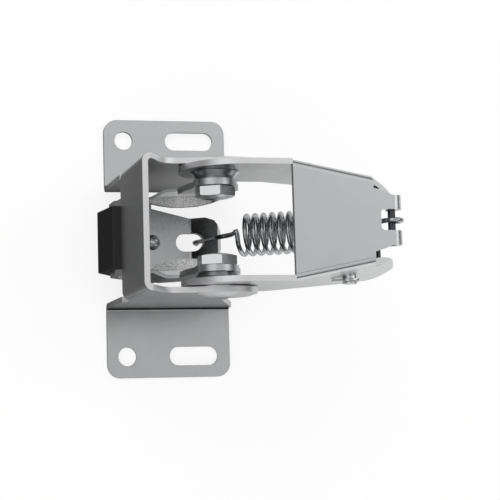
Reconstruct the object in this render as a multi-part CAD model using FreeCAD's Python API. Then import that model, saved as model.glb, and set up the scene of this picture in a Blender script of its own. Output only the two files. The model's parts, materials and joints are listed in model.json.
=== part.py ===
# Spring-loaded door catch: folded bracket, swinging lever and rubber-faced jaw on one pivot line.
# Millimetres; X towards the lever tip, Y across, Z away from the door, Z 0 on the mounting plane.
# Sizes along X are written from the left edge of the flanges; saving moves the origin midway between the round holes.
import math
import os

import FreeCAD
import Part

os.makedirs("parts", exist_ok=True)

V = FreeCAD.Vector

# Sheet and bends
SHEET = 2.0
BEND = 2.0
JAW_SHEET = 2.2

# Bracket
FLANGE_LENGTH = 47.2
FLANGE_REACH = 49.2
FLANGE_CORNER = 5.0
LEG_OUTER = 23.1
LEG_MID = LEG_OUTER - SHEET / 2
FOLD_TOP = 6.0
WEB_FACE = -1.3
WEB_NEAR = 81.0
WEB_FAR = 41.0
HOLE_EDGE = 8.0
HOLE_X = 7.6
HOLE_Y = FLANGE_REACH - HOLE_EDGE
HOLE_R = 3.5
SLOT_X = 33.2
SLOT_LENGTH = 18.8

# Pivot line
PIVOT_X = 27.0
PIVOT_Z = 66.6
SHANK_R = 4.0
RUN = 0.05
HEAD_FLATS = 12.4
HEAD_LENGTH = 4.2
HEAD_CROWN = 1.2
PEEN_R = 7.5
PEEN_RISE = 1.3
BUSH_WALL = 1.3
CONE_SMALL = 6.2
CONE_BIG = 8.5
WASHER_R = 8.0

# Lever
LEVER_FACE = 87.0
ARM_OUTER = LEG_OUTER - SHEET - 0.4
ARM_MID = ARM_OUTER - SHEET / 2
ARM_END_R = 20.0
ARM_END_X = PIVOT_X + 7.6
LEVER_FAR = LEVER_FACE - 2 * ARM_END_R
PLATE_LEFT = 49.1
PLATE_RIGHT = 77.3
PLATE_BEND = 1.6
TIP_TOP = 15.0
TIP_FAR = 18.3
NOSE_LENGTH = 18.2
NECK_HALF = 10.9
NECK_LENGTH = 7.3
NECK_END = PLATE_RIGHT + NECK_LENGTH
NOTCH_DEPTH = 4.9
FINGER_IN = 3.6
FINGER_OUT = 8.5
CURL_R = 2.4
CURL_Z = LEVER_FACE - SHEET / 2 - CURL_R

# Pins carried by the lever
ANCHOR_R = CURL_R - SHEET / 2 - 0.1
CROSS_X = PLATE_RIGHT - 1.7
CROSS_Z = 63.5
CROSS_R = 2.7
CROSS_WASHER = 0.5
WASHER_GAP = 0.7
CLIP = 0.8
CLIP_GAP = 1.0
TIP_PIN_X = PLATE_RIGHT + 4.9
TIP_PIN_Z = LEVER_FACE - 12.0
TIP_PIN_R = 1.0

# Jaw carrier
JAW_MID = 12.4
EYE_MID = 14.8
EYE_R = 7.6
EYE_GAP = 0.3
HEAD_SEAT = EYE_MID - JAW_SHEET / 2 - EYE_GAP
HEAD_INNER = HEAD_SEAT - HEAD_LENGTH
BASE_TOP = 19.0
BASE_LEFT = 2.5
TAIL_BEND = 29.4
TAIL_END = 38.2
TAIL_RISE = 8.2
SPRING_HOLE = (23.4, 33.2, 6.7)
LIP_EDGE = 9.2

# Pad
PAD_HALF = 11.25
PAD_RIVET_X = 14.5
PAD_PIN_X = 1.2
PAD_PIN_Z = 29.0
PAD_PIN_R = 1.6

# Spring
WIRE_R = 0.85
COIL_R = 6.95
COIL_PITCH = 3.14
COIL_TURNS = 9
COIL_START = (41.2, 40.7)
COIL_LEAN = 29.0


def box(x0, x1, y0, y1, z0, z1):
    return Part.makeBox(x1 - x0, y1 - y0, z1 - z0, V(x0, y0, z0))


def rod(r, x, y0, y1, z):
    """Round bar along Y."""
    return Part.makeCylinder(r, y1 - y0, V(x, y0, z), V(0, 1, 0))


def in_xy(a, b):
    return V(a, b, 0)


def in_xz(a, b):
    return V(a, 0, b)


def in_yz(a, b):
    return V(0, a, b)


def panel(points, place, sweep):
    """Closed polygon mapped into space and swept by a vector."""
    pts = [place(a, b) for a, b in points]
    return Part.Face(Part.makePolygon(pts + [pts[0]])).extrude(sweep)


def strip_wire(path, thick, radius, place):
    """Closed outline of a bent sheet whose middle line follows the path."""
    def side(shift):
        edges = []
        last = None
        for i, p in enumerate(path):
            if i in (0, len(path) - 1):
                q = path[1] if i == 0 else path[-2]
                dx, dy = (q[0] - p[0], q[1] - p[1]) if i == 0 else (p[0] - q[0], p[1] - q[1])
                n = math.hypot(dx, dy)
                end = (p[0] - dy / n * shift, p[1] + dx / n * shift)
                if last:
                    edges.append((last, None, end))
                last = end
                continue
            a, b = path[i - 1], path[i + 1]
            u = (p[0] - a[0], p[1] - a[1])
            w = (b[0] - p[0], b[1] - p[1])
            lu, lw = math.hypot(*u), math.hypot(*w)
            u = (u[0] / lu, u[1] / lu)
            w = (w[0] / lw, w[1] / lw)
            turn = math.atan2(u[0] * w[1] - u[1] * w[0], u[0] * w[0] + u[1] * w[1])
            hand = 1 if turn > 0 else -1
            tan = radius * math.tan(abs(turn) / 2)
            start = (p[0] - u[0] * tan, p[1] - u[1] * tan)
            centre = (start[0] - u[1] * radius * hand, start[1] + u[0] * radius * hand)
            r = radius - hand * shift
            arc = []
            for k in (0.0, 0.5, 1.0):
                t = math.atan2(start[1] - centre[1], start[0] - centre[0]) + turn * k
                arc.append((centre[0] + r * math.cos(t), centre[1] + r * math.sin(t)))
            edges.append((last, None, arc[0]))
            edges.append((arc[0], arc[1], arc[2]))
            last = arc[2]
        return edges

    left, right = side(thick / 2), side(-thick / 2)
    loop = left + [(left[-1][2], None, right[-1][2])]
    loop += [(c, m, a) for a, m, c in reversed(right)]
    loop += [(right[0][0], None, left[0][0])]
    made = []
    for a, m, c in loop:
        if m is None:
            made.append(Part.makeLine(place(*a), place(*c)))
        else:
            made.append(Part.Arc(place(*a), place(*m), place(*c)).toShape())
    return Part.Wire(made)


def bent(path, thick, radius, place, sweep):
    return Part.Face(strip_wire(path, thick, radius, place)).extrude(sweep)


def slot(x0, x1, y, width, z0, z1):
    """Obround cutter along X."""
    r = width / 2
    cut = box(x0 + r, x1 - r, y - r, y + r, z0, z1)
    for x in (x0 + r, x1 - r):
        cut = cut.fuse(Part.makeCylinder(r, z1 - z0, V(x, y, z0)))
    return cut


def mirrored(shape):
    return shape.mirror(V(0, 0, 0), V(0, 1, 0))


def round_points(a, b, r, degrees):
    """Points on a circle at the given angles."""
    return [(a + r * math.cos(math.radians(d)), b + r * math.sin(math.radians(d))) for d in degrees]


def save(name, shape):
    shape = shape.removeSplitter().translated(V(-HOLE_X, 0, 0))
    if len(shape.Solids) == 1:
        shape = shape.Solids[0]
    assert shape.isValid() and shape.Volume > 0, name
    shape.exportStep("parts/" + name + ".step")
    print(name, round(shape.Volume, 1), len(shape.Faces), len(shape.Solids))


# Bracket: one folded sheet
def leg_outline():
    """Side shape of a leg: web corner, dip, round ear, then back down to the flange."""
    top, ear_r = PIVOT_Z + 8.2, 10.5
    ear_x, ear_z = PIVOT_X + 3.9, top - ear_r
    pts = [(WEB_FACE - 1, -1), (WEB_FACE - 1, WEB_NEAR), (1.6, WEB_NEAR), (3.4, WEB_NEAR - 2.2)]
    pts += [(6.0, WEB_NEAR - 7.4), (9.0, WEB_NEAR - 10.0)]
    pts += [(13.0, top - 4.2), (18.0, top - 3.4), (23.0, top - 1.6)]
    pts += round_points(ear_x, ear_z, ear_r, range(105, -16, -15))
    pts += round_points(ear_x, ear_z - 8.6, ear_r, range(0, -61, -15))
    return pts + [(35.2, WEB_FAR - 1.6), (FLANGE_LENGTH, FOLD_TOP), (FLANGE_LENGTH, -1)]


def mounting_bracket():
    web_mid = WEB_FACE + SHEET / 2
    path = [(FLANGE_LENGTH, LEG_MID), (web_mid, LEG_MID), (web_mid, -LEG_MID), (FLANGE_LENGTH, -LEG_MID)]
    shell = bent(path, SHEET, BEND, in_xy, V(0, 0, WEB_NEAR))
    shell = shell.common(box(-5, 60, -30, 30, 4, WEB_NEAR))
    shell = shell.common(panel(leg_outline(), in_xz, V(0, 60, 0)).translated(V(0, -30, 0)))
    corner = WEB_FACE + SHEET / 2 + BEND
    shell = shell.cut(box(-5, corner, -30, 30, -1, WEB_FAR))
    fold = [(LEG_MID, FOLD_TOP), (LEG_MID, SHEET / 2), (FLANGE_REACH, SHEET / 2)]
    flange = bent(fold, SHEET, BEND, in_yz, V(FLANGE_LENGTH, 0, 0))
    tall = [e for e in flange.Edges if abs(e.BoundBox.YMin - FLANGE_REACH) < 0.01 and e.BoundBox.ZLength > 1]
    flange = flange.makeFillet(FLANGE_CORNER, tall)
    flange = flange.fuse(box(0, corner + 0.5, LEG_OUTER - SHEET, LEG_OUTER, 5, 33))
    flange = flange.cut(Part.makeCylinder(HOLE_R, 8, V(HOLE_X, HOLE_Y, -3)))
    half = SLOT_LENGTH / 2
    flange = flange.cut(slot(SLOT_X - half, SLOT_X + half, HOLE_Y, 2 * HOLE_R, -3, 5))
    shape = shell.fuse([flange, mirrored(flange)])
    return shape.cut(rod(SHANK_R + RUN, PIVOT_X, -40, 40, PIVOT_Z))


# Lever: one folded sheet with arms, tapered channel and two curled fingers
def lever_arm():
    end_z = LEVER_FACE - ARM_END_R
    disc = rod(ARM_END_R, ARM_END_X, ARM_OUTER - SHEET, ARM_OUTER, end_z)
    disc = disc.common(box(0, ARM_END_X, 0, 40, 0, LEVER_FACE + 5))
    bar = box(ARM_END_X, PLATE_LEFT, ARM_OUTER - SHEET, ARM_OUTER, LEVER_FAR, LEVER_FACE)
    return disc.fuse(bar).cut(rod(SHANK_R + BUSH_WALL, PIVOT_X, 0, 40, PIVOT_Z))


def channel_section(x, top_outer, far_outer):
    top, far = top_outer - SHEET / 2, far_outer - SHEET / 2
    face = LEVER_FACE - SHEET / 2
    wire = strip_wire([(far, LEVER_FAR), (top, face), (-top, face), (-far, LEVER_FAR)], SHEET, PLATE_BEND, in_yz)
    wire.translate(V(x, 0, 0))
    return wire


def wall_reach(x, z):
    """Outer face of the side wall at a place on the tapered channel."""
    t = (x - PLATE_LEFT) / (PLATE_RIGHT - PLATE_LEFT)
    k = (LEVER_FACE - SHEET / 2 - z) / (LEVER_FACE - SHEET / 2 - LEVER_FAR)
    top = ARM_OUTER + t * (TIP_TOP - ARM_OUTER)
    far = ARM_OUTER + t * (TIP_FAR - ARM_OUTER)
    return top + k * (far - top)


def wall_section(x, top_in, top_z, far_in):
    """Section of a side wall past the plate, drawn in from the wall at the plate's end."""
    low = LEVER_FAR - 1
    pts = [V(x, wall_reach(PLATE_RIGHT, top_z) - top_in, top_z), V(x, wall_reach(PLATE_RIGHT, low) - far_in, low)]
    pts += [p - V(0, SHEET, 0) for p in reversed(pts)]
    return Part.makePolygon(pts + [pts[0]])


def nose_outline():
    """Side shape of a wall's nose: a long curved fall to a small round end on the far edge."""
    tip, shoulder = PLATE_RIGHT + NOSE_LENGTH, LEVER_FACE - 2.6
    top = V(PLATE_RIGHT + 0.3, 0, shoulder)
    turn, foot = V(tip - 0.2, 0, LEVER_FAR + 7.0), V(tip - 4.4, 0, LEVER_FAR)
    fall = Part.Arc(top, V(tip - 8.5, 0, LEVER_FAR + 24.6), turn).toShape()
    end = Part.Arc(turn, V(tip - 0.6, 0, LEVER_FAR + 2.4), foot).toShape()
    back = Part.makePolygon([foot, V(PLATE_RIGHT, 0, LEVER_FAR), V(PLATE_RIGHT, 0, shoulder), top])
    return Part.Face(Part.Wire([fall, end] + list(back.Edges)))


def nose_wall():
    """Side wall past the plate, drawn in a little towards its end."""
    stations = [(0, 0, 2.4, 0), (5.7, 1.9, 7.5, 0.6), (12.7, 3.7, 20.5, 1.8), (NOSE_LENGTH + 0.5, 5.0, 31.0, 4.4)]
    sections = []
    for x, top_in, down, far_in in stations:
        sections.append(wall_section(PLATE_RIGHT + x, top_in, LEVER_FACE - down, far_in))
    wall = Part.makeLoft(sections, True, False)
    return wall.common(nose_outline().extrude(V(0, 30, 0)))


def finger():
    face = LEVER_FACE - SHEET / 2
    low = face - 2 * CURL_R
    path = [(PLATE_RIGHT - 1, face), (NECK_END + CURL_R, face), (NECK_END + CURL_R, low), (NECK_END - 0.8, low)]
    curl = bent(path, SHEET, CURL_R - 0.001, in_xz, V(0, FINGER_OUT - FINGER_IN, 0))
    return curl.translated(V(0, FINGER_IN, 0))


def neck_notch():
    """Cutter between the fingers, with two small round corners."""
    x0 = NECK_END - NOTCH_DEPTH
    cut = box(x0, NECK_END + 10, -FINGER_IN, FINGER_IN, CURL_Z - 12, LEVER_FACE + 5)
    corners = [e for e in cut.Edges if e.BoundBox.XMax < x0 + 0.01 and e.BoundBox.ZLength > 1]
    return cut.makeFillet(1.4, corners)


def catch_lever():
    start = channel_section(PLATE_LEFT, ARM_OUTER, ARM_OUTER)
    end = channel_section(PLATE_RIGHT, TIP_TOP, TIP_FAR)
    shape = Part.makeLoft([start, end], True, True)
    neck = [(PLATE_RIGHT - 2, NECK_HALF), (PLATE_RIGHT, NECK_HALF), (PLATE_RIGHT + 0.5 * NECK_LENGTH, NECK_HALF - 1.1)]
    neck.append((NECK_END - 0.6, FINGER_OUT))
    neck += [(x, -y) for x, y in reversed(neck)]
    shape = shape.fuse(panel(neck, in_xy, V(0, 0, SHEET)).translated(V(0, 0, LEVER_FACE - SHEET)))
    for piece in (lever_arm(), nose_wall(), finger()):
        shape = shape.fuse([piece, mirrored(piece)])
    shape = shape.cut(neck_notch())
    shape = shape.cut(rod(CROSS_R + RUN, CROSS_X, -30, 30, CROSS_Z))
    return shape.cut(rod(TIP_PIN_R + RUN, TIP_PIN_X, -30, 30, TIP_PIN_Z))


# Jaw carrier: base with raised tail, two cheeks and two arms with inward lips
def jaw_side():
    """Side shape shared by a cheek and its arm."""
    pts = [(BASE_LEFT, BASE_TOP - JAW_SHEET), (-2.2, 22.5), (-2.2, 32.4), (7.0, 41.7), (18.0, 47.8), (18.6, 57.0)]
    pts += round_points(PIVOT_X, PIVOT_Z, EYE_R, range(205, -31, -9))
    pts += [(PIVOT_X + 10.2, PIVOT_Z - 7.4), (PIVOT_X + 9.4, PIVOT_Z - 12.0), (30.0, 46.0)]
    return pts + [(22.0, 34.0), (13.3, 27.0), (13.3, BASE_TOP - JAW_SHEET)]


def jaw_arm():
    path = [(-4.0, JAW_MID), (9.5, JAW_MID), (14.0, EYE_MID), (45.0, EYE_MID)]
    sheet = bent(path, JAW_SHEET, 3.0, in_xy, V(0, 0, 90))
    arm = sheet.common(panel(jaw_side(), in_xz, V(0, 30, 0)))
    ridge = [(6.0, 41.1), (17.8, 46.6), (29.6, 50.6), (37.6, 58.6)]
    lip = bent(ridge, JAW_SHEET, 3.0, in_xz, V(0, 8, 0)).translated(V(0, 8.5, 0))
    leaf = [(6.4, 13.4), (8.4, 11.4), (12.0, LIP_EDGE + 1.0), (16.0, LIP_EDGE + 0.2), (20.0, LIP_EDGE)]
    leaf += [(25.0, LIP_EDGE + 0.2), (30.0, LIP_EDGE + 1.2), (34.0, LIP_EDGE + 2.6), (37.0, EYE_MID)]
    leaf += [(14.0, EYE_MID), (9.5, JAW_MID)]
    lip = lip.common(panel(leaf, in_xy, V(0, 0, 90)))
    return arm.fuse(lip)


def pad_carrier():
    base_mid = BASE_TOP - JAW_SHEET / 2
    path = [(BASE_LEFT, base_mid), (TAIL_BEND, base_mid), (TAIL_END, base_mid + TAIL_RISE)]
    base = bent(path, JAW_SHEET, 3.0, in_xz, V(0, 40, 0)).translated(V(0, -20, 0))
    inner = JAW_MID - JAW_SHEET / 2
    plan = [(BASE_LEFT - 1, inner), (13.3, inner + 1.5), (28.8, 9.0), (33.6, 8.9), (36.4, 7.6), (37.9, 5.2), (39.5, 2.4)]
    base = base.common(panel(plan + [(x, -y) for x, y in reversed(plan)], in_xy, V(0, 0, 60)))
    trough = [(JAW_MID, 40.0), (JAW_MID, base_mid), (-JAW_MID, base_mid), (-JAW_MID, 40.0)]
    fold = bent(trough, JAW_SHEET, 2.0, in_yz, V(13.3 - BASE_LEFT, 0, 0)).translated(V(BASE_LEFT, 0, 0))
    fold = fold.common(box(-5, 20, -20, 20, 0, 24))
    arm = jaw_arm()
    arm = arm.common(box(-10, 60, 0, 30, 23, 90)).fuse(arm.common(box(-10, BASE_LEFT, 0, 30, 10, 23.5)))
    shape = base.fuse([fold, arm, mirrored(arm)])
    shape = shape.cut(slot(SPRING_HOLE[0], SPRING_HOLE[1], 0, SPRING_HOLE[2], 10, 40))
    shape = shape.cut(Part.makeCylinder(1.6 + RUN, 20, V(PAD_RIVET_X, 0, 10)))
    shape = shape.cut(rod(PAD_PIN_R + RUN, PAD_PIN_X, -30, 30, PAD_PIN_Z))
    return shape.cut(rod(SHANK_R + RUN, PIVOT_X, -40, 40, PIVOT_Z))


# Pad: rubber block wrapped round the left end of the base
def rubber_pad():
    low = BASE_TOP - JAW_SHEET
    pts = [(-5.8, 17.6), (-3.6, 35.5), (6.5, 36.4), (6.5, BASE_TOP), (BASE_LEFT, BASE_TOP), (BASE_LEFT, low), (20.0, low),
           (20.0, 10.0), (8.0, 5.0), (1.6, 5.0)]
    block = panel(pts, in_xz, V(0, 2 * PAD_HALF, 0)).translated(V(0, -PAD_HALF, 0))
    outer = [e for e in block.Edges if e.BoundBox.YLength > 20 and e.BoundBox.XMax < 0]
    block = block.makeFillet(0.8, outer)
    block = block.cut(Part.makeCylinder(1.6 + RUN, 20, V(PAD_RIVET_X, 0, 0)))
    block = block.cut(Part.makeCylinder(3.6, 4.0, V(PAD_RIVET_X, 0, 6.0)))
    return block.cut(rod(PAD_PIN_R + RUN, PAD_PIN_X, -30, 30, PAD_PIN_Z))


def dome(r, rise, base, axis):
    """Low domed cap of radius r rising from a flat seat."""
    ball = (r * r + rise * rise) / (2 * rise)
    cap = Part.makeSphere(ball, base - axis * (ball - rise))
    return cap.common(Part.makeCylinder(r, rise + 0.5, base, axis))


def pad_rivet():
    up = V(0, 0, 1)
    shank = Part.makeCylinder(1.6, BASE_TOP - 10.0, V(PAD_RIVET_X, 0, 10.0))
    cap = dome(2.9, 1.5, V(PAD_RIVET_X, 0, BASE_TOP), up)
    tail = Part.makeCylinder(3.2, 1.2, V(PAD_RIVET_X, 0, 8.8))
    return shank.fuse([cap, tail])


def pad_pin():
    reach = JAW_MID + JAW_SHEET / 2
    pin = rod(PAD_PIN_R, PAD_PIN_X, -reach - 0.3, reach + 0.3, PAD_PIN_Z)
    for side in (1, -1):
        pin = pin.fuse(dome(2.1, 1.2, V(PAD_PIN_X, side * reach, PAD_PIN_Z), V(0, side, 0)))
    return pin


# Pivot: two shouldered rivets, hexagonal inside the jaw and peened outside the legs
def pivot_rivet():
    corner = HEAD_FLATS / math.sqrt(3)
    hexagon = round_points(PIVOT_X, PIVOT_Z, corner, range(30, 390, 60))
    head = panel(hexagon, in_xz, V(0, HEAD_LENGTH, 0)).translated(V(0, HEAD_INNER, 0))
    crown = (corner * corner + HEAD_CROWN * HEAD_CROWN) / (2 * HEAD_CROWN)
    ball = Part.makeSphere(crown, V(PIVOT_X, HEAD_INNER + crown, PIVOT_Z))
    shank = rod(SHANK_R, PIVOT_X, HEAD_SEAT, LEG_OUTER, PIVOT_Z)
    peen = dome(PEEN_R, PEEN_RISE, V(PIVOT_X, LEG_OUTER, PIVOT_Z), V(0, 1, 0))
    return head.common(ball).fuse([shank, peen])


def ring(r_out, r_in, y0, y1):
    return rod(r_out, PIVOT_X, y0, y1, PIVOT_Z).cut(rod(r_in, PIVOT_X, y0 - 1, y1 + 1, PIVOT_Z))


def pivot_cone():
    start, end = EYE_MID + JAW_SHEET / 2 + 0.1, ARM_OUTER - SHEET - 0.15
    body = Part.makeCone(CONE_SMALL, CONE_BIG, end - start, V(PIVOT_X, start, PIVOT_Z), V(0, 1, 0))
    return body.cut(rod(SHANK_R + RUN, PIVOT_X, start - 1, end + 1, PIVOT_Z))


def pivot_bush():
    return ring(SHANK_R + BUSH_WALL - RUN, SHANK_R + RUN, ARM_OUTER - SHEET - 0.1, ARM_OUTER + 0.03)


def pivot_washer():
    return ring(WASHER_R, SHANK_R + RUN, ARM_OUTER + 0.08, LEG_OUTER - SHEET)


# Lever pins
def spring_anchor_pin():
    return rod(ANCHOR_R, NECK_END, -FINGER_OUT + 0.2, FINGER_OUT - 0.2, CURL_Z)


def cross_pin():
    reach = wall_reach(CROSS_X, CROSS_Z)
    seat = reach + WASHER_GAP + CROSS_WASHER
    pin = rod(CROSS_R, CROSS_X, -reach - CLIP_GAP - CLIP - 0.9, seat + 0.05, CROSS_Z)
    head = rod(CROSS_R + 0.5, CROSS_X, seat + 0.05, seat + 1.1, CROSS_Z)
    y0 = -reach - CLIP_GAP - CLIP - 0.02
    groove = rod(CROSS_R + 1, CROSS_X, y0, y0 + CLIP + 0.04, CROSS_Z)
    return pin.fuse(head).cut(groove.cut(rod(CROSS_R - 0.5, CROSS_X, y0 - 1, y0 + 3, CROSS_Z)))


def cross_pin_clip():
    """Open clip with a long tab that narrows to its end."""
    y1 = -wall_reach(CROSS_X, CROSS_Z) - CLIP_GAP
    y0 = y1 - CLIP
    body = rod(CROSS_R + 1.2, CROSS_X, y0, y1, CROSS_Z)
    tab = [(-2.5, -1.9), (-6.6, -0.8), (-6.6, 0.8), (-2.5, 1.9)]
    tab = [(CROSS_X + a, CROSS_Z + b) for a, b in tab]
    body = body.fuse(panel(tab, in_xz, V(0, CLIP, 0)).translated(V(0, y0, 0)))
    mouth = box(CROSS_X, CROSS_X + 6, y0 - 1, y1 + 1, CROSS_Z - 1.7, CROSS_Z + 1.7)
    return body.cut([rod(CROSS_R - 0.45, CROSS_X, y0 - 1, y1 + 1, CROSS_Z), mouth])


def cross_pin_washer():
    y0 = wall_reach(CROSS_X, CROSS_Z) + WASHER_GAP
    y1 = y0 + CROSS_WASHER
    return rod(CROSS_R + 1.2, CROSS_X, y0, y1, CROSS_Z).cut(rod(CROSS_R + RUN, CROSS_X, y0 - 1, y1 + 1, CROSS_Z))


def tip_pin():
    half = wall_reach(PLATE_RIGHT, TIP_PIN_Z) - 1.9
    return rod(TIP_PIN_R, TIP_PIN_X, -half, half, TIP_PIN_Z)


# Spring: close helix with a side hook at each end
def tension_spring():
    lean = math.radians(COIL_LEAN)
    axis = V(math.cos(lean), 0, math.sin(lean))
    rise = V(-math.sin(lean), 0, math.cos(lean))
    origin = V(COIL_START[0], 0, COIL_START[1])

    def on_coil(turn):
        a = 2 * math.pi * turn
        return origin + axis * (COIL_PITCH * turn) - rise * (COIL_R * math.cos(a)) + V(0, 1, 0) * (COIL_R * math.sin(a))

    steps = 12
    coil = [on_coil(k / steps) for k in range(steps // 2 + 1, COIL_TURNS * steps + steps // 2)]
    hole_end, tail_z = SPRING_HOLE[1], BASE_TOP - JAW_SHEET / 2
    entry, leave = on_coil(0.5), on_coil(COIL_TURNS + 0.5)
    tail = [V(hole_end - 0.8, 0, tail_z - 3.2), V(hole_end - 2.4, 0, tail_z + 0.2), V(hole_end - 1.0, 0, tail_z + 5.6)]
    for back, y, down in ((5.2, -0.6, 8.0), (1.1, -0.2, 1.2), (0.1, 0.9, -0.2)):
        tail.append(V(entry.x - back, y, entry.z - down))
    loop_x, loop_r = NECK_END + 0.5, ANCHOR_R + WIRE_R + 0.75
    hook = [V(0.5 * (leave.x + loop_x - loop_r), -0.6, 0.5 * (leave.z + CURL_Z) + 0.4)]
    hook += [V(x, 0, z) for x, z in round_points(loop_x, CURL_Z, loop_r, range(165, -91, -30))]
    curve = Part.BSplineCurve()
    curve.interpolate(tail + coil + hook)
    path = Part.Wire([curve.toShape()])
    start, along = curve.value(curve.FirstParameter), curve.tangent(curve.FirstParameter)[0]
    circle = Part.Wire([Part.makeCircle(WIRE_R, start, along)])
    return path.makePipeShell([circle], True, True)


def build():
    save("mounting_bracket", mounting_bracket())
    save("catch_lever", catch_lever())
    save("pad_carrier", pad_carrier())
    save("rubber_pad", rubber_pad())
    save("pad_rivet", pad_rivet())
    save("pad_pin", pad_pin())
    for side in ("upper", "lower"):
        for name, make in (("pivot_rivet", pivot_rivet), ("pivot_cone", pivot_cone), ("pivot_bush", pivot_bush),
                           ("pivot_washer", pivot_washer)):
            shape = make() if side == "upper" else mirrored(make())
            save(name + "_" + side, shape)
    save("spring_anchor_pin", spring_anchor_pin())
    save("cross_pin", cross_pin())
    save("cross_pin_clip", cross_pin_clip())
    save("cross_pin_washer", cross_pin_washer())
    save("tip_pin", tip_pin())
    save("tension_spring", tension_spring())


build()
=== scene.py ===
"""Spring door catch: bright zinc sheet, steel pins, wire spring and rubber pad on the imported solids."""

import json
import logging
import math
from dataclasses import dataclass, field
from enum import Enum

import bmesh
import bpy
from mathutils import Matrix, Vector

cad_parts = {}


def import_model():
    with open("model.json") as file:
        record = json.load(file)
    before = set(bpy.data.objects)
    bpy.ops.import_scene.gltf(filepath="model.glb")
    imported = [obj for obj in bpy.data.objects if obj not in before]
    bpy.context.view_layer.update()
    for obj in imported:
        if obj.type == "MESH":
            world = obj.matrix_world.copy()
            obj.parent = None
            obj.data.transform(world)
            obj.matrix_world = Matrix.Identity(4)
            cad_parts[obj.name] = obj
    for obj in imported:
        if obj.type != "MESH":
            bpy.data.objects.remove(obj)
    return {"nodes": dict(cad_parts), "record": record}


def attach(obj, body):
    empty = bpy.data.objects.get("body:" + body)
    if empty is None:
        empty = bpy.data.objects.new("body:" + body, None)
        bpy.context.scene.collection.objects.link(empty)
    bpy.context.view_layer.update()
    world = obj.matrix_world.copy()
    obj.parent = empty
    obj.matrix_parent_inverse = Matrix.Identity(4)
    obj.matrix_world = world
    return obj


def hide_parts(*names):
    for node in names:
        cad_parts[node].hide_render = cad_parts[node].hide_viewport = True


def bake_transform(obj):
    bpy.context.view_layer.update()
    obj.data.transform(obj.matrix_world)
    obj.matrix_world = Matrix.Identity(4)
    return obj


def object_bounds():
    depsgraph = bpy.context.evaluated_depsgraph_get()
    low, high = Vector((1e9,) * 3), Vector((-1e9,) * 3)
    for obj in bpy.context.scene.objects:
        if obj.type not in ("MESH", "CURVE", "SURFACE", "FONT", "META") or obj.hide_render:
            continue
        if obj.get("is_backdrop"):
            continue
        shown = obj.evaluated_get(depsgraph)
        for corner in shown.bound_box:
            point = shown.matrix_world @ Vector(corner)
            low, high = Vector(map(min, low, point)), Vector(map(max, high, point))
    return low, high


logging.basicConfig(level=logging.INFO, format="%(name)s: %(message)s")
LOG = logging.getLogger("door_catch")

Point = tuple[float, float, float]
Span = tuple[float, float, float, float]

MM = 0.001
# Points of a CAD mesh closer than this are one point, and faces closer in angle than this are one face
WELD_MM = 0.002
FLAT_DEG = 0.6
# Corners sharper than this were rolled over by tumbling; flat faces keep their full weight in the shading
EDGE_DEG = 38.0
EDGE_STEPS = 2
FACE_WEIGHT = 100
# Sockets of a range node, in a Span's order: the values read, then what they become
SPAN = ("From Min", "From Max", "To Min", "To Max")
# Colour sockets of a mix node, by place, because its other kinds share their names
MIX_A, MIX_B, MIX_OUT = 6, 7, 2


def linear(code: str) -> tuple[float, float, float, float]:
    """Turns an sRGB hex colour into linear red, green, blue and alpha.

    Args:
        code: six hex digits, with or without a leading hash.
    Returns:
        The four linear values, alpha 1.
    """
    digits = code.lstrip("#")
    values = []
    for start in (0, 2, 4):
        c = int(digits[start:start + 2], 16) / 255
        values.append(c / 12.92 if c <= 0.04045 else ((c + 0.055) / 1.055) ** 2.4)
    return values[0], values[1], values[2], 1.0


def add_node(tree: bpy.types.NodeTree, kind: str, settings: dict | None = None,
             values: dict | None = None, links: dict | None = None) -> bpy.types.Node:
    """Adds one node with its settings, socket values and incoming links.

    Args:
        tree: the shader or geometry tree.
        kind: the node's Blender identifier.
        settings: attributes of the node.
        values: default values by input socket, name or index.
        links: output sockets by input socket, name or index.
    Returns:
        The new node.
    """
    node = tree.nodes.new(kind)
    for name, value in (settings or {}).items():
        setattr(node, name, value)
    for socket, value in (values or {}).items():
        node.inputs[socket].default_value = value
    for socket, source in (links or {}).items():
        tree.links.new(source, node.inputs[socket])
    return node


def bare_material(name: str) -> tuple[bpy.types.Material, bpy.types.Node, bpy.types.NodeSocket]:
    """Starts a node material.

    Args:
        name: the material's name.
    Returns:
        The material, its output node, and the place on the piece in its own coordinates.
    """
    mat = bpy.data.materials.new(name)
    mat.use_nodes = True
    mat.node_tree.nodes.clear()
    out = add_node(mat.node_tree, "ShaderNodeOutputMaterial")
    place = add_node(mat.node_tree, "ShaderNodeTexCoord")
    return mat, out, place.outputs["Object"]


class Wear(Enum):
    """How a metal surface was made, which sets its fine relief."""

    ROLLED = "rolled sheet, plated"
    BURNISHED = "sheared edge, rubbed smooth by tumbling"
    SHEARED = "sheared and torn cut face"
    DRAWN = "drawn wire or turned bar"
    PEENED = "hammered rivet head"


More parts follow.
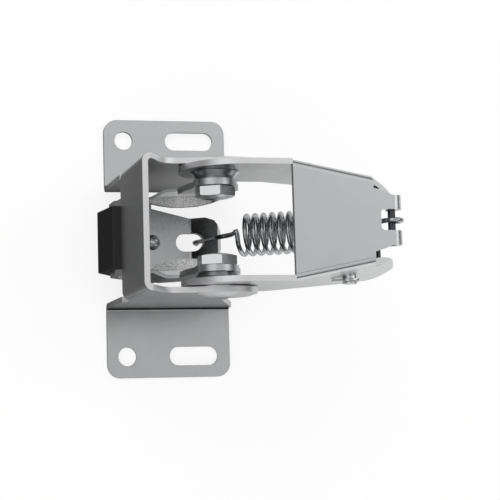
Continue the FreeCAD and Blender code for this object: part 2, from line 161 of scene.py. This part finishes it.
@dataclass(frozen=True)
class PaintedFoldShade:
    """Painted shade in the inside corner between leg and flange: the foot of the leg is coloured darker to
    stand in for the shade in the fold.
    """

    # The colour of the painted shade in the fold
    colour: str = "#353536"
    # It starts just over the flange's face, 2 mm up, and fades out up the leg
    foot: Span = (2.01 * MM, 2.12 * MM, 0.0, 1.0)
    fade: Span = (3.5 * MM, 30.0 * MM, 1.0, 0.0)
    steepness: float = 2.0

    def share(self, tree: bpy.types.NodeTree, where: bpy.types.NodeSocket) -> bpy.types.NodeSocket:
        """Finds how much painted shade a place takes from its height.

        Args:
            tree: the shader tree.
            where: the place on the piece.
        Returns:
            Strongest at the foot of the leg, 0 on the flange and from the fade's end up.
        """
        axes = add_node(tree, "ShaderNodeSeparateXYZ", links={0: where})
        above, fade = (add_node(tree, "ShaderNodeMapRange", values=dict(zip(SPAN, span)),
                                links={"Value": axes.outputs["Z"]}) for span in (self.foot, self.fade))
        steep = add_node(tree, "ShaderNodeMath", settings={"operation": "POWER"},
                         values={1: self.steepness}, links={0: fade.outputs["Result"]})
        share = add_node(tree, "ShaderNodeMath", settings={"operation": "MULTIPLY"},
                         links={0: above.outputs["Result"], 1: steep.outputs[0]})
        return share.outputs[0]


@dataclass(frozen=True)
class TornBand:
    """Torn inner band of a punched lip, beside the smooth burnished band that the punch leaves."""

    colour: str = "#3F3F40"
    # The band's outer limit to either side, and how dark the hollows of the grain are
    reach: Span = (12.8 * MM, 13.2 * MM, 1.0, 0.0)
    hollows: Span = (0.36, 0.56, 0.45, 0.0)

    def mask(self, tree: bpy.types.NodeTree, where: bpy.types.NodeSocket) -> bpy.types.NodeSocket:
        """Finds where the edge is torn.

        Args:
            tree: the shader tree.
            where: the place on the piece.
        Returns:
            1 in the torn band, 0 on the burnished one.
        """
        axes = add_node(tree, "ShaderNodeSeparateXYZ", links={0: where})
        side = add_node(tree, "ShaderNodeMath", settings={"operation": "ABSOLUTE"},
                        links={0: axes.outputs["Y"]})
        edge = add_node(tree, "ShaderNodeMapRange", values=dict(zip(SPAN, self.reach)),
                        links={"Value": side.outputs[0]})
        return edge.outputs["Result"]

    def share(self, tree: bpy.types.NodeTree, grain: bpy.types.NodeSocket,
              mask: bpy.types.NodeSocket) -> bpy.types.NodeSocket:
        """Finds how dark a place in the torn band is.

        Args:
            tree: the shader tree.
            grain: the fine grain, 0 to 1.
            mask: 1 where the edge is torn.
        Returns:
            Strongest in the grain's hollows, 0 outside the band.
        """
        hollow = add_node(tree, "ShaderNodeMapRange", values=dict(zip(SPAN, self.hollows)),
                          links={"Value": grain})
        share = add_node(tree, "ShaderNodeMath", settings={"operation": "MULTIPLY"},
                         links={0: hollow.outputs["Result"], 1: mask})
        return share.outputs[0]


@dataclass(frozen=True)
class PlatedSteel:
    """Electroplated bright zinc on steel: a clear silver mirror that rolling leaves slightly soft."""

    name: str
    colour: str
    roughness: float
    wear: Wear
    # The real grain is about a tenth of a millimetre, too fine for the render, so it is drawn coarser
    grain_mm: float
    relief: float
    depth_mm: float = 0.05
    gloss_spread: tuple[float, float] = (0.85, 1.2)
    # Faint clouds of the plating bath
    cloud_mm: float = 9.0
    cloud_shade: float = 0.93
    # Slow unevenness of the sheet, 0 for none
    wave_mm: float = 0.0
    wave_relief: float = 0.5
    wave_depth_mm: float = 0.15
    torn: TornBand = TornBand()
    # Painted shade in the fold between leg and flange, none where the piece has no such fold
    fold_shade: PaintedFoldShade | None = None

    def tone(self, tree: bpy.types.NodeTree, where: bpy.types.NodeSocket,
             stains_and_shade: list[tuple[bpy.types.NodeSocket, str]]) -> bpy.types.NodeSocket:
        """Lays the plating's clouded colour, and each stain and the fold's painted shade over it.

        Args:
            tree: the shader tree.
            where: the place on the piece.
            stains_and_shade: how strong each stain and painted shade is there, with its colour.
        Returns:
            The colour.
        """
        cloud = add_node(tree, "ShaderNodeTexNoise", links={"Vector": where},
                         values={"Scale": 1 / (self.cloud_mm * MM), "Detail": 2.0})
        bright = Vector(linear(self.colour)[:3])
        tone = add_node(tree, "ShaderNodeMix", settings={"data_type": "RGBA"},
                        values={MIX_A: (*(bright * self.cloud_shade), 1), MIX_B: (*bright, 1)},
                        links={0: cloud.outputs["Fac"]})
        for share, colour in stains_and_shade:
            tone = add_node(tree, "ShaderNodeMix", settings={"data_type": "RGBA"},
                            values={MIX_B: linear(colour)}, links={0: share, MIX_A: tone.outputs[MIX_OUT]})
        return tone.outputs[MIX_OUT]

    def normal(self, tree: bpy.types.NodeTree, where: bpy.types.NodeSocket,
               height: bpy.types.NodeSocket) -> bpy.types.NodeSocket:
        """Raises the fine relief, on the slow waves of the sheet where it has them.

        Args:
            tree: the shader tree.
            where: the place on the piece.
            height: the fine relief's height, 0 to 1.
        Returns:
            The bent normal.
        """
        bump = add_node(tree, "ShaderNodeBump", links={"Height": height},
                        values={"Strength": self.relief, "Distance": self.depth_mm * MM})
        if self.wave_mm > 0:
            swell = add_node(tree, "ShaderNodeTexNoise", links={"Vector": where},
                             values={"Scale": 1 / (self.wave_mm * MM), "Detail": 1.0})
            bump = add_node(tree, "ShaderNodeBump",
                            values={"Strength": self.wave_relief, "Distance": self.wave_depth_mm * MM},
                            links={"Height": swell.outputs["Fac"], "Normal": bump.outputs["Normal"]})
        return bump.outputs["Normal"]

    def material(self) -> bpy.types.Material:
        """Builds the node material.

        Returns:
            The finished material.
        """
        mat, out, where = bare_material(self.name)
        tree = mat.node_tree
        noise = add_node(tree, "ShaderNodeTexNoise", links={"Vector": where},
                         values={"Scale": 1 / (self.grain_mm * MM), "Detail": 4.0, "Roughness": 0.6})
        grain = height = noise.outputs["Fac"]
        stains_and_shade = []
        if self.wear is Wear.SHEARED:
            mask = self.torn.mask(tree, where)
            stains_and_shade.append((self.torn.share(tree, grain, mask), self.torn.colour))
            height = add_node(tree, "ShaderNodeMath", settings={"operation": "MULTIPLY"},
                              links={0: grain, 1: mask}).outputs[0]
        if self.wear is Wear.PEENED:
            height = add_node(tree, "ShaderNodeTexVoronoi", settings={"feature": "SMOOTH_F1"},
                              values={"Scale": 1 / (self.grain_mm * MM)},
                              links={"Vector": where}).outputs["Distance"]
        # The fold's painted shade is laid over the colour together with the stains
        if self.fold_shade:
            stains_and_shade.append((self.fold_shade.share(tree, where), self.fold_shade.colour))
        soft, hard = (self.roughness * spread for spread in self.gloss_spread)
        rough = add_node(tree, "ShaderNodeMapRange", values={"To Min": soft, "To Max": hard},
                         links={"Value": grain})
        shader = add_node(tree, "ShaderNodeBsdfPrincipled", values={"Metallic": 1.0},
                          links={"Base Color": self.tone(tree, where, stains_and_shade),
                                 "Roughness": rough.outputs["Result"],
                                 "Normal": self.normal(tree, where, height)})
        tree.links.new(shader.outputs["BSDF"], out.inputs["Surface"])
        return mat


@dataclass(frozen=True)
class MouldedRubber:
    """Moulded black nitrile rubber: nearly black, matt, with a broad dull sheen from a satin mould."""

    name: str = "moulded_black_rubber"
    colour: str = "#18181A"
    roughness: float = 0.62
    ior: float = 1.52
    # The satin of a real mould is too fine for the render, so it is drawn coarser
    grain_mm: float = 0.5
    relief: float = 0.12
    depth_mm: float = 0.05

    def material(self) -> bpy.types.Material:
        """Builds the node material.

        Returns:
            The finished material.
        """
        mat, out, where = bare_material(self.name)
        tree = mat.node_tree
        grain = add_node(tree, "ShaderNodeTexNoise", links={"Vector": where},
                         values={"Scale": 1 / (self.grain_mm * MM), "Detail": 3.0})
        bump = add_node(tree, "ShaderNodeBump", links={"Height": grain.outputs["Fac"]},
                        values={"Strength": self.relief, "Distance": self.depth_mm * MM})
        shader = add_node(tree, "ShaderNodeBsdfPrincipled", links={"Normal": bump.outputs["Normal"]},
                          values={"Base Color": linear(self.colour), "Roughness": self.roughness,
                                  "IOR": self.ior})
        tree.links.new(shader.outputs["BSDF"], out.inputs["Surface"])
        return mat


@dataclass
class Finishes:
    """Every finish of the catch, made once."""

    # Zinc plated cold-rolled sheet: bright, soft mirror that wavers a little with the sheet's unevenness,
    # with painted shade at the foot of the legs in the fold
    sheet: bpy.types.Material = field(default_factory=PlatedSteel(
        "zinc_plated_sheet", "#D5D6D7", 0.24, Wear.ROLLED, 1.4, 0.02, wave_mm=12.0, fold_shade=PaintedFoldShade()).material)
    # Sheared edge of the same sheet, burnished by tumbling and coloured near white as a painted highlight, so
    # it shows brighter than the faces
    cut: bpy.types.Material = field(default_factory=PlatedSteel(
        "sheared_edge_painted_highlight", "#F0F0F1", 0.42, Wear.BURNISHED, 0.6, 0.4).material)
    # Same plating on the thicker jaw blank, duller after tumbling
    jaw: bpy.types.Material = field(default_factory=PlatedSteel(
        "zinc_plated_jaw", "#CBCCCD", 0.28, Wear.ROLLED, 1.2, 0.04, wave_mm=9.0).material)
    # Torn zone of a punched edge: coarse, sparkling and uneven, drawn a little coarser than the real tearing
    torn: bpy.types.Material = field(default_factory=PlatedSteel(
        "torn_cut_edge", "#F2F2F1", 0.34, Wear.SHEARED, 0.5, 0.8, 0.2).material)
    # Turned rivets, washers and pins: the brightest mirror, with hardly any grain
    bar: bpy.types.Material = field(default_factory=PlatedSteel(
        "zinc_plated_bar", "#E6E7E8", 0.2, Wear.DRAWN, 1.2, 0.02).material)
    # Outer rivet heads, closed with blows that leave shallow facets in the plating
    peened: bpy.types.Material = field(default_factory=PlatedSteel(
        "peened_rivet_head", "#D2D3D4", 0.27, Wear.PEENED, 2.2, 0.7, 0.3).material)
    # Plain steel pins in the shade of the lever: dark grey, partly their own plain steel and partly painted
    # shade, with a dull shine
    dark: bpy.types.Material = field(default_factory=PlatedSteel(
        "plain_steel_pin_painted_shade", "#55565A", 0.35, Wear.DRAWN, 0.7, 0.06).material)
    # Drawn spring wire, thin zinc over a dark core: narrow bright lines between dark ones
    wire: bpy.types.Material = field(default_factory=PlatedSteel(
        "zinc_spring_wire", "#B9BABC", 0.1, Wear.DRAWN, 0.8, 0.02).material)
    # Moulded buffer rubber: a black block with hardly a highlight
    rubber: bpy.types.Material = field(default_factory=MouldedRubber().material)


@dataclass
class Frame:
    """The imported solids, by name, with the body each one rides on."""

    nodes: dict[str, bpy.types.Object]
    bodies: dict[str, str]

    def copy_of(self, name: str) -> bmesh.types.BMesh:
        """Joins a CAD node's loose triangles into a closed mesh with flat faces whole.

        Args:
            name: the CAD node.
        Returns:
            A mesh in the row frame, in metres.
        """
        mesh = bmesh.new()
        mesh.from_mesh(self.nodes[name].data)
        bmesh.ops.remove_doubles(mesh, verts=mesh.verts, dist=WELD_MM * MM)
        bmesh.ops.dissolve_limit(mesh, angle_limit=math.radians(FLAT_DEG), verts=mesh.verts,
                                 edges=mesh.edges)
        return mesh

    def settle(self, obj: bpy.types.Object, node: str) -> None:
        """Puts a finished piece in the place of a CAD node.

        Args:
            obj: the finished piece.
            node: the CAD node it stands for.
        """
        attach(obj, self.bodies[node])
        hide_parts(node)
        LOG.info("%s: %d faces", obj.name, len(obj.data.polygons))


def evaluated(obj: bpy.types.Object) -> None:
    """Turns an object's modifiers into its own plain mesh.

    Args:
        obj: the object, linked to the scene.
    """
    graph = bpy.context.evaluated_depsgraph_get()
    mesh = bpy.data.meshes.new_from_object(obj.evaluated_get(graph), preserve_all_data_layers=True,
                                           depsgraph=graph)
    old = obj.data
    obj.modifiers.clear()
    obj.data = mesh
    mesh.name = obj.name
    if old.users == 0:
        bpy.data.meshes.remove(old)


@dataclass
class SoftEdged:
    """A CAD piece dressed with the small rolled-over edges that tumbling and plating leave."""

    node: str
    slot: str
    finish: bpy.types.Material
    edge_mm: float
    second: bpy.types.Material | None = None

    def build(self, frame: Frame) -> None:
        """Makes the piece and puts it in the CAD node's place.

        Args:
            frame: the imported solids.
        """
        source = frame.copy_of(self.node)
        mesh = bpy.data.meshes.new(self.node + "_dressed")
        source.to_mesh(mesh)
        source.free()
        mesh.materials.append(self.finish)
        if self.second:
            mesh.materials.append(self.second)
        obj = bpy.data.objects.new(self.node + "_dressed", mesh)
        bpy.context.scene.collection.objects.link(obj)
        mesh.shade_smooth()
        bevel = obj.modifiers.new("edges", "BEVEL")
        bevel.width = self.edge_mm * MM
        bevel.segments = EDGE_STEPS
        bevel.limit_method = "ANGLE"
        bevel.angle_limit = math.radians(EDGE_DEG)
        bevel.miter_outer = "MITER_ARC"
        flat = obj.modifiers.new("flat faces", "WEIGHTED_NORMAL")
        flat.weight = FACE_WEIGHT
        evaluated(obj)
        for face in obj.data.polygons:
            if self.takes_second(face):
                face.material_index = 1
        frame.settle(obj, self.node)

    def takes_second(self, face: bpy.types.MeshPolygon) -> bool:
        """Tells whether a face has the second finish; the base piece is one finish all over."""
        return False


@dataclass
class CutSheet(SoftEdged):
    """A folded sheet whose upward sheared edges take a near-white finish, a painted highlight, brighter than
    its rolled faces.
    """

    # The block of space, in millimetres, and the least distance from the middle plane, where edges show
    edge_low: Point = (-20.0, -60.0, 10.0)
    edge_high: Point = (120.0, 60.0, 120.0)
    edge_side_mm: float = 0.0
    # An edge's face looks along the sheet, so it turns less than this to the side, and it looks up
    side_turn: float = 0.5
    rise: float = 0.05

    def takes_second(self, face: bpy.types.MeshPolygon) -> bool:
        """Picks the narrow faces of the sheet's edge that take the painted highlight.

        Args:
            face: a face of the dressed sheet.
        Returns:
            Whether the face is a sheared edge face that takes the painted highlight.
        """
        c = face.center / MM
        inside = all(self.edge_low[k] < c[k] < self.edge_high[k] for k in range(3))
        facing = abs(face.normal.y) < self.side_turn and face.normal.z > self.rise
        return inside and abs(c.y) > self.edge_side_mm and facing


@dataclass
class Jaw(SoftEdged):
    """The jaw carrier, whose inward lips show the torn face of a punched edge."""

    # Where the lips are, in millimetres, and how far up their near faces look
    lip_x: tuple[float, float] = (-2.0, 24.0)
    lip_z: tuple[float, float] = (39.0, 54.0)
    lip_side_mm: float = 13.8
    rise: float = 0.5

    def takes_second(self, face: bpy.types.MeshPolygon) -> bool:
        """Picks the lips' near faces.

        Args:
            face: a face of the dressed carrier.
        Returns:
            Whether the face was torn.
        """
        c = face.center / MM
        inside = self.lip_x[0] < c.x < self.lip_x[1] and self.lip_z[0] < c.z < self.lip_z[1]
        return inside and abs(c.y) < self.lip_side_mm and face.normal.z > self.rise


@dataclass
class PivotRivet(SoftEdged):
    """A pivot rivet, turned inside the sheets and peened over outside them."""

    peened_from_mm: float = 23.15

    def takes_second(self, face: bpy.types.MeshPolygon) -> bool:
        """Picks the outer head.

        Args:
            face: a face of the dressed rivet.
        Returns:
            Whether the face was peened.
        """
        return abs(face.center.y) > self.peened_from_mm * MM


class WireSection(Enum):
    """How finely the wire's round section is drawn."""

    FULL = 14
    QUICK = 8


@dataclass
class TensionSpring:
    """Close helix with a side hook at each end: one in the tail's hole, one round the anchor pin.

    Points are in millimetres, in the row frame.
    """

    wire_mm: float = 0.85
    coil_mm: float = 6.95
    pitch_mm: float = 3.14
    turns: int = 9
    start: Point = (33.6, 0.0, 40.7)
    lean_deg: float = 29.0
    # The near hook through the tail's hole, and the wire's run from it, told from where the coil starts
    near_hook: tuple[Point, ...] = ((24.8, 0.0, 14.7), (23.2, 0.0, 18.1), (24.6, 0.0, 23.5))
    run_in: tuple[Point, ...] = ((-5.2, -0.6, -8.0), (-1.1, -0.2, -1.2), (-0.1, 0.9, 0.2))
    # The far hook round the anchor pin with the range of its angles, and how the run to it bends aside
    hook_centre: Point = (77.5, 0.0, 83.6)
    hook_mm: float = 2.9
    hook_deg: tuple[int, int, int] = (165, -91, -15)
    run_out_side_mm: float = -0.6
    run_out_rise_mm: float = 0.4
    # Half a turn at each end belongs to the hooks; the coil's points start two steps in
    end_turn: float = 0.5
    steps_a_turn: int = 24
    steps_in: int = 2
    step_mm: float = 0.8
    crease_deg: float = 50.0
    node: str = "tension_spring"

    def on_coil(self, turn: float) -> Vector:
        """Finds a place on the helix.

        Args:
            turn: turns from the coil's start.
        Returns:
            The point in millimetres.
        """
        lean, a = math.radians(self.lean_deg), 2 * math.pi * turn
        axis = Vector((math.cos(lean), 0, math.sin(lean)))
        rise = Vector((-math.sin(lean), 0, math.cos(lean)))
        across = Vector((0, 1, 0)) * (self.coil_mm * math.sin(a)) - rise * (self.coil_mm * math.cos(a))
        return Vector(self.start) + axis * (self.pitch_mm * turn) + across

    def ends(self) -> tuple[Vector, Vector]:
        """Finds where the wire enters and leaves the coil.

        Returns:
            The two points in millimetres.
        """
        return self.on_coil(self.end_turn), self.on_coil(self.turns + self.end_turn)

    def path(self) -> list[Vector]:
        """Works out the wire's middle line.

        Returns:
            Points from the tail hook, round the coils, to the anchor hook, in millimetres.
        """
        entry, leave = self.ends()
        points = [Vector(p) for p in self.near_hook]
        points += [entry + Vector(p) for p in self.run_in]
        steps, half = self.steps_a_turn, self.steps_a_turn // 2
        points += [self.on_coil(k / steps) for k in range(half + self.steps_in, self.turns * steps + half)]
        bend = Vector(self.hook_centre)
        points.append(Vector((0.5 * (leave.x + bend.x - self.hook_mm), self.run_out_side_mm,
                              0.5 * (leave.z + bend.z) + self.run_out_rise_mm)))
        for deg in range(*self.hook_deg):
            a = math.radians(deg)
            points.append(bend + Vector((self.hook_mm * math.cos(a), 0, self.hook_mm * math.sin(a))))
        return points

    def tree(self, finish: bpy.types.Material) -> bpy.types.NodeTree:
        """Builds the Geometry Nodes tree that rolls the wire along its middle line.

        Args:
            finish: the wire's material.
        Returns:
            The node tree, with the wire's radius, its section's steps and its step length as named inputs.
        """
        tree = bpy.data.node_groups.new("wire_along_line", "GeometryNodeTree")
        sockets = (("Geometry", "INPUT", "Geometry"), ("Wire radius", "INPUT", "Float"),
                   ("Section steps", "INPUT", "Int"), ("Step length", "INPUT", "Float"),
                   ("Geometry", "OUTPUT", "Geometry"))
        for name, way, kind in sockets:
            tree.interface.new_socket(name, in_out=way, socket_type="NodeSocket" + kind)
        given = add_node(tree, "NodeGroupInput")
        line = add_node(tree, "GeometryNodeMeshToCurve", links={"Mesh": given.outputs["Geometry"]})
        smooth = add_node(tree, "GeometryNodeCurveSplineType", settings={"spline_type": "CATMULL_ROM"},
                          links={"Curve": line.outputs["Curve"]})
        even = add_node(tree, "GeometryNodeResampleCurve", settings={"mode": "LENGTH"},
                        links={"Curve": smooth.outputs["Curve"], "Length": given.outputs["Step length"]})
        ring = add_node(tree, "GeometryNodeCurvePrimitiveCircle",
                        links={"Radius": given.outputs["Wire radius"],
                               "Resolution": given.outputs["Section steps"]})
        tube = add_node(tree, "GeometryNodeCurveToMesh", values={"Fill Caps": True},
                        links={"Curve": even.outputs["Curve"], "Profile Curve": ring.outputs["Curve"]})
        real = add_node(tree, "GeometryNodeRealizeInstances", links={"Geometry": tube.outputs["Mesh"]})
        painted = add_node(tree, "GeometryNodeSetMaterial", values={"Material": finish},
                           links={"Geometry": real.outputs["Geometry"]})
        out = add_node(tree, "NodeGroupOutput")
        tree.links.new(painted.outputs["Geometry"], out.inputs["Geometry"])
        return tree

    def build(self, finish: bpy.types.Material) -> None:
        """Makes the spring in place of the CAD wire.

        Args:
            finish: the wire's material.
        """
        points = [p * MM for p in self.path()]
        mesh = bpy.data.meshes.new("spring_line")
        mesh.from_pydata(points, [(i, i + 1) for i in range(len(points) - 1)], [])
        obj = bpy.data.objects.new("tension_spring_wire", mesh)
        bpy.context.scene.collection.objects.link(obj)
        tree = self.tree(finish)
        mod = obj.modifiers.new("wire", "NODES")
        mod.node_group = tree
        ids = {s.name: s.identifier for s in tree.interface.items_tree if s.in_out == "INPUT"}
        section = WireSection.FULL
        mod[ids["Wire radius"]] = self.wire_mm * MM
        mod[ids["Section steps"]] = section.value
        mod[ids["Step length"]] = self.step_mm * MM
        evaluated(obj)
        fix = bmesh.new()
        fix.from_mesh(obj.data)
        bmesh.ops.recalc_face_normals(fix, faces=fix.faces)
        fix.to_mesh(obj.data)
        fix.free()
        obj.data.shade_smooth()
        obj.data.set_sharp_from_angle(angle=math.radians(self.crease_deg))
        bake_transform(obj)
        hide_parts(self.node)
        LOG.info("%s: %d faces", obj.name, len(obj.data.polygons))


@dataclass
class Catch:
    """The whole catch: bracket, lever, jaw and the small hardware between them."""

    frame: Frame
    finishes: Finishes
    # How far tumbling rolled over the edges of each kind of piece, in millimetres
    bracket_edge_mm: float = 0.3
    lever_edge_mm: float = 0.25
    jaw_edge_mm: float = 0.25
    rivet_edge_mm: float = 0.25
    ring_edge_mm: float = 0.1
    dark_edge_mm: float = 0.15
    pad_edge_mm: float = 0.5
    bright_edges_mm: tuple[tuple[str, float], ...] = (
        ("pad_rivet", 0.1), ("pad_pin", 0.1), ("cross_pin", 0.2), ("cross_pin_clip", 0.05),
        ("cross_pin_washer", 0.06))
    # The lever's bright edges, a painted highlight, are those of its arms: up to the plate, and outside the
    # arms' inner faces
    arms_high: Point = (41.4, 60.0, 120.0)
    arms_side_mm: float = 18.6

    def sheet_pieces(self) -> list[SoftEdged]:
        """Lists the folded sheets.

        Returns:
            Bracket, lever and jaw carrier.
        """
        f = self.finishes
        return [CutSheet("mounting_bracket", "zinc_sheet", f.sheet, self.bracket_edge_mm, f.cut),
                CutSheet("catch_lever", "zinc_sheet", f.sheet, self.lever_edge_mm, f.cut,
                         edge_high=self.arms_high, edge_side_mm=self.arms_side_mm),
                Jaw("pad_carrier", "jaw_steel", f.jaw, self.jaw_edge_mm, f.torn)]

    def hardware(self) -> list[SoftEdged]:
        """Lists rivets, washers, bushes and pins.

        Returns:
            The small metal pieces.
        """
        f = self.finishes
        pieces = []
        for side in ("upper", "lower"):
            pieces.append(PivotRivet("pivot_rivet_" + side, "rivet_steel", f.bar,
                                     self.rivet_edge_mm, f.peened))
            pieces += [SoftEdged(name + side, "rivet_steel", f.bar, self.ring_edge_mm)
                       for name in ("pivot_cone_", "pivot_bush_", "pivot_washer_")]
        pieces += [SoftEdged(name, "rivet_steel", f.bar, edge) for name, edge in self.bright_edges_mm]
        pieces += [SoftEdged(name, "dark_pin_steel", f.dark, self.dark_edge_mm)
                   for name in ("spring_anchor_pin", "tip_pin")]
        return pieces

    def build(self) -> None:
        """Makes every piece in turn."""
        pad = SoftEdged("rubber_pad", "pad_rubber", self.finishes.rubber, self.pad_edge_mm)
        for piece in self.sheet_pieces() + self.hardware() + [pad]:
            piece.build(self.frame)
        TensionSpring().build(self.finishes.wire)


@dataclass(frozen=True)
class SoftBox:
    """One soft box beside the table, turned to the catch; places and sizes in metres."""

    name: str
    place: Point
    size: tuple[float, float]
    watts: float
    aim: Point = (0.03, 0.0, 0.04)

    def hang(self) -> None:
        """Hangs the box in the scene."""
        light = bpy.data.lights.new(self.name, "AREA")
        light.shape = "RECTANGLE"
        light.size, light.size_y = self.size
        light.energy = self.watts
        obj = bpy.data.objects.new(self.name, light)
        obj.location = self.place
        obj.rotation_euler = (Vector(self.aim) - Vector(self.place)).to_track_quat("-Z", "Y").to_euler()
        bpy.context.scene.collection.objects.link(obj)


@dataclass
class Studio:
    """Pale floor, soft lights and the camera at the photograph's angle."""

    floor_reach: float = 4.0
    floor_drop_mm: float = 0.05
    # The paper as the eye sees it, mostly lit from below
    floor_colour: str = "#F6F6F5"
    glow_colour: str = "#FFFFFF"
    glow: float = 1.16
    glow_share: float = 0.7
    # The card as the metal sees it, with painted light: paler to the right and on the lower side, and a weak
    # painted glow to the right
    painted_light_right: Span = (-0.02, 0.0, 0.15, 0.6)
    painted_light_near: Span = (-0.03, -0.06, 0.0, 0.3)
    painted_glow_right: Span = (-0.01, 0.1, 0.03, 0.36)
    # The tent's light by the height of a direction, from level, which holds below too, to straight up
    sky: tuple[tuple[float, float], ...] = (
        (0.0, 0.12), (0.3, 0.18), (0.55, 0.84), (0.88, 0.94), (0.955, 0.7), (1.0, 0.61))
    # A dark flag in the crown on the lower side, and a dimmer wall to the right
    flag_top: Span = (0.88, 0.94, 0.0, 0.85)
    flag_side: Span = (-0.04, -0.1, 0.0, 1.0)
    tent_right: Span = (0.3, 0.65, 1.0, 0.55)
    wall_colour: str = "#ECEDEE"
    boxes: tuple[SoftBox, ...] = (SoftBox("right_box", (0.95, 0.35, 0.85), (0.45, 0.8), 1.2),
                                  SoftBox("back_box", (-0.5, 0.9, 0.75), (0.8, 0.35), 1.0))
    # The camera fitted to the photograph: millimetres, degrees about each axis, and pixels
    camera_place: Point = (-114.3, -68.4, 601.9)
    camera_turn: Point = (-8.07, 13.35, 0.55)
    focal_px: float = 1619.2
    image_px: float = 500.0
    centre_px: tuple[float, float] = (200.0, 202.4)
    sensor_mm: float = 36.0
    clip: tuple[float, float] = (0.02, 20.0)

    def floor(self) -> None:
        """Lays the floor under the flanges."""
        r = self.floor_reach
        mesh = bpy.data.meshes.new("floor")
        mesh.from_pydata([(-r, -r, 0), (r, -r, 0), (r, r, 0), (-r, r, 0)], [], [(0, 1, 2, 3)])
        obj = bpy.data.objects.new("floor", mesh)
        obj.location.z = -self.floor_drop_mm * MM
        bpy.context.scene.collection.objects.link(obj)
        mesh.materials.append(self.board())
        obj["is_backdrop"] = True

    def board(self) -> bpy.types.Material:
        """Makes the floor's finish: lit white paper to the eye, and to the metal a grey card with painted
        light, paler and glowing to the right.

        Returns:
            The floor's material.
        """
        mat, out, where = bare_material("lit_white_paper")
        tree = mat.node_tree
        paper = add_node(tree, "ShaderNodeBsdfDiffuse", values={"Color": linear(self.floor_colour)})
        glow = add_node(tree, "ShaderNodeEmission",
                        values={"Color": linear(self.glow_colour), "Strength": self.glow})
        seen = add_node(tree, "ShaderNodeMixShader", values={0: self.glow_share},
                        links={1: paper.outputs[0], 2: glow.outputs[0]})
        axes = add_node(tree, "ShaderNodeSeparateXYZ", links={0: where})
        right, near, lamp = (add_node(tree, "ShaderNodeMapRange", values=dict(zip(SPAN, span)),
                                      links={"Value": axes.outputs[axis]}).outputs["Result"]
                             for span, axis in ((self.painted_light_right, "X"), (self.painted_light_near, "Y"),
                                                (self.painted_glow_right, "X")))
        # Painted light on the card the metal sees: paler to the right and on the lower side
        grey = add_node(tree, "ShaderNodeMath", settings={"operation": "ADD"}, links={0: right, 1: near})
        card = add_node(tree, "ShaderNodeBsdfDiffuse", links={"Color": grey.outputs[0]})
        # A painted glow to the right, on the card where no lamp is
        weak = add_node(tree, "ShaderNodeEmission", links={"Strength": lamp})
        lit = add_node(tree, "ShaderNodeAddShader", links={0: card.outputs[0], 1: weak.outputs[0]})
        path = add_node(tree, "ShaderNodeLightPath")
        both = add_node(tree, "ShaderNodeMixShader",
                        links={0: path.outputs["Is Camera Ray"], 1: lit.outputs[0], 2: seen.outputs[0]})
        tree.links.new(both.outputs[0], out.inputs["Surface"])
        return mat

    def lights(self) -> None:
        """Sets the tent, a pale ring with a greyer crown and a dark flag in it, and hangs the soft boxes."""
        world = bpy.data.worlds.new("light_tent")
        world.use_nodes = True
        tree = world.node_tree
        tree.nodes.clear()
        out = add_node(tree, "ShaderNodeOutputWorld")
        way = add_node(tree, "ShaderNodeTexCoord")
        axes = add_node(tree, "ShaderNodeSeparateXYZ", links={0: way.outputs["Generated"]})
        tone = add_node(tree, "ShaderNodeValToRGB", links={0: axes.outputs["Z"]})
        ramp = tone.color_ramp
        while len(ramp.elements) < len(self.sky):
            ramp.elements.new(0.5)
        for stop, (height, light) in zip(ramp.elements, self.sky):
            stop.position = height
            stop.color = (light, light, light, 1.0)
        crown, below, right = (add_node(tree, "ShaderNodeMapRange", values=dict(zip(SPAN, span)),
                                        links={"Value": axes.outputs[axis]}).outputs["Result"]
                               for span, axis in ((self.flag_top, "Z"), (self.flag_side, "Y"),
                                                  (self.tent_right, "X")))
        flag = add_node(tree, "ShaderNodeMath", settings={"operation": "MULTIPLY"},
                        links={0: crown, 1: below})
        shaded = add_node(tree, "ShaderNodeMath", settings={"operation": "SUBTRACT"},
                          links={0: right, 1: flag.outputs[0]})
        tent = add_node(tree, "ShaderNodeBackground",
                        links={"Color": tone.outputs["Color"], "Strength": shaded.outputs[0]})
        wall = add_node(tree, "ShaderNodeBackground", values={"Color": linear(self.wall_colour)})
        path = add_node(tree, "ShaderNodeLightPath")
        both = add_node(tree, "ShaderNodeMixShader",
                        links={0: path.outputs["Is Camera Ray"], 1: tent.outputs[0], 2: wall.outputs[0]})
        tree.links.new(both.outputs[0], out.inputs["Surface"])
        bpy.context.scene.world = world
        bpy.context.scene.view_settings.view_transform = "Standard"
        for box in self.boxes:
            box.hang()

    def camera(self) -> None:
        """Places the camera as fitted to the photograph."""
        turn = Vector([math.radians(a) for a in self.camera_turn])
        view = Matrix.Rotation(turn.length, 4, turn.normalized())
        data = bpy.data.cameras.new("camera")
        data.sensor_width = self.sensor_mm
        data.lens = self.focal_px / self.image_px * self.sensor_mm
        data.shift_x = (self.image_px / 2 - self.centre_px[0]) / self.image_px
        data.shift_y = (self.centre_px[1] - self.image_px / 2) / self.image_px
        data.clip_start, data.clip_end = self.clip
        obj = bpy.data.objects.new("camera", data)
        obj.matrix_world = Matrix.Translation(Vector(self.camera_place) * MM) @ view.transposed()
        bpy.context.scene.collection.objects.link(obj)
        bpy.context.scene.camera = obj

    def build(self) -> None:
        """Sets up floor, lights and camera."""
        self.floor()
        self.lights()
        self.camera()


def note_size(sizes: dict, moment: str) -> None:
    """Keeps the object's corners at one moment.

    Args:
        sizes: the notes so far.
        moment: a word for when they were taken.
    """
    low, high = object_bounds()
    sizes[moment] = {"low": [round(v, 6) for v in low], "high": [round(v, 6) for v in high]}


def main() -> None:
    """Builds the dressed catch in its studio."""
    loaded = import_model()
    sizes: dict[str, dict] = {}
    note_size(sizes, "solids")
    carried = loaded["record"]["behaviour"]["bodies"]
    bodies = {node: body for body, nodes in carried.items() for node in nodes}
    Catch(Frame(loaded["nodes"], bodies), Finishes()).build()
    Studio().build()
    note_size(sizes, "dressed")


if __name__ == "__main__":
    main()
